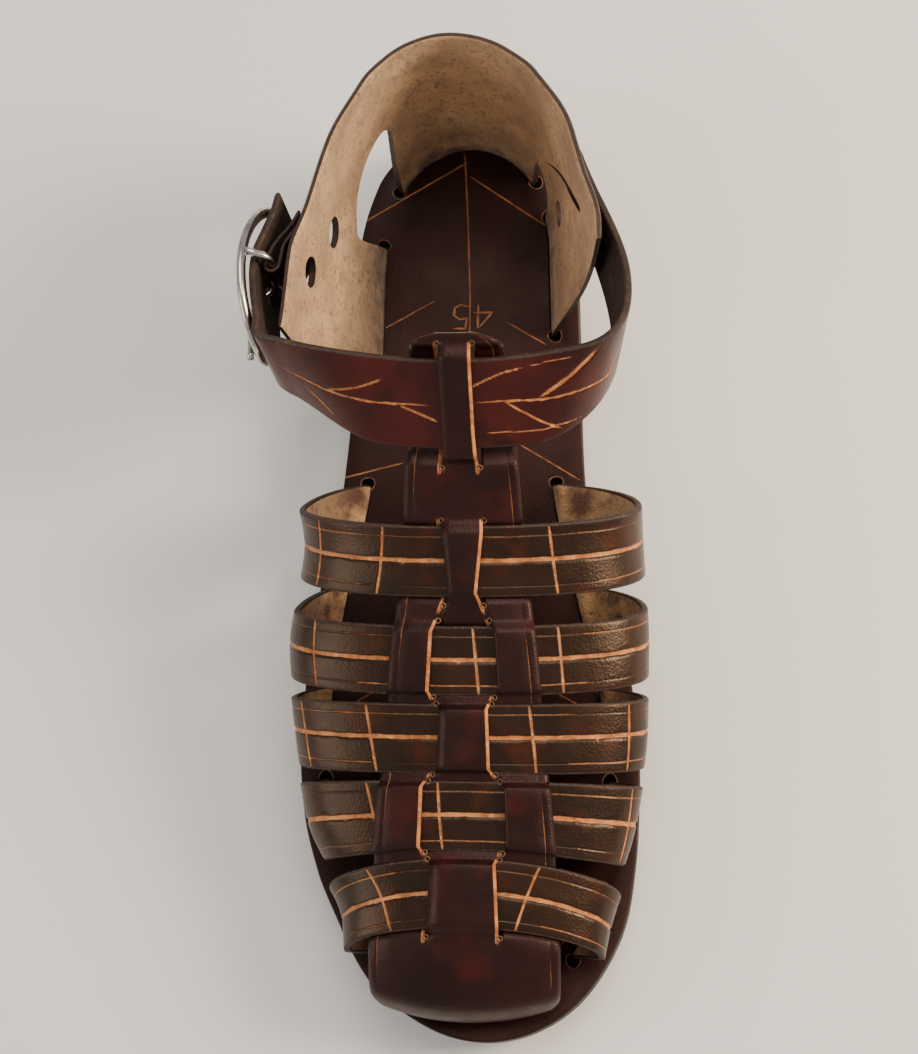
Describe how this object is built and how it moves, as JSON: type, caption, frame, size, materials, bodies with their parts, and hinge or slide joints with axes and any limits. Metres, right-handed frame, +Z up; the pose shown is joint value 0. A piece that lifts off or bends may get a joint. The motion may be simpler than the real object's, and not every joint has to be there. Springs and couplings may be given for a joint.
{
  "type": "huarache sandal",
  "caption": "Closed-toe leather sandal for the right foot: slit tongue woven through cross straps, buckled ankle strap, pierced heel counter, leather footbed on a heeled rubber sole.",
  "frame": {"origin": "middle of the sandal's base, on the floor", "axes": "-Y towards the toe, +Y towards the heel, +X towards the inner side of the right foot, +Z up"},
  "size_m": [0.1212, 0.3084, 0.1111],
  "materials": {
    "sole_rubber": "matt dark rubber",
    "footbed_leather": "satin, stained oxblood brown",
    "upper_leather": "satin, near-black brown",
    "strap_leather": "satin, oxblood",
    "counter_leather": "satin outside, pale suede inside",
    "chape_leather": "satin, near-black brown",
    "plated_steel": "worn bright plating"
  },
  "bodies": {
    "root": {"outsole": "sole_rubber", "footbed": "footbed_leather", "upper": "upper_leather", "ankle_strap": "strap_leather", "heel_counter": "counter_leather", "buckle_chape": "chape_leather", "buckle_frame": "plated_steel", "buckle_prong": "plated_steel"}
  },
  "joints": []
}
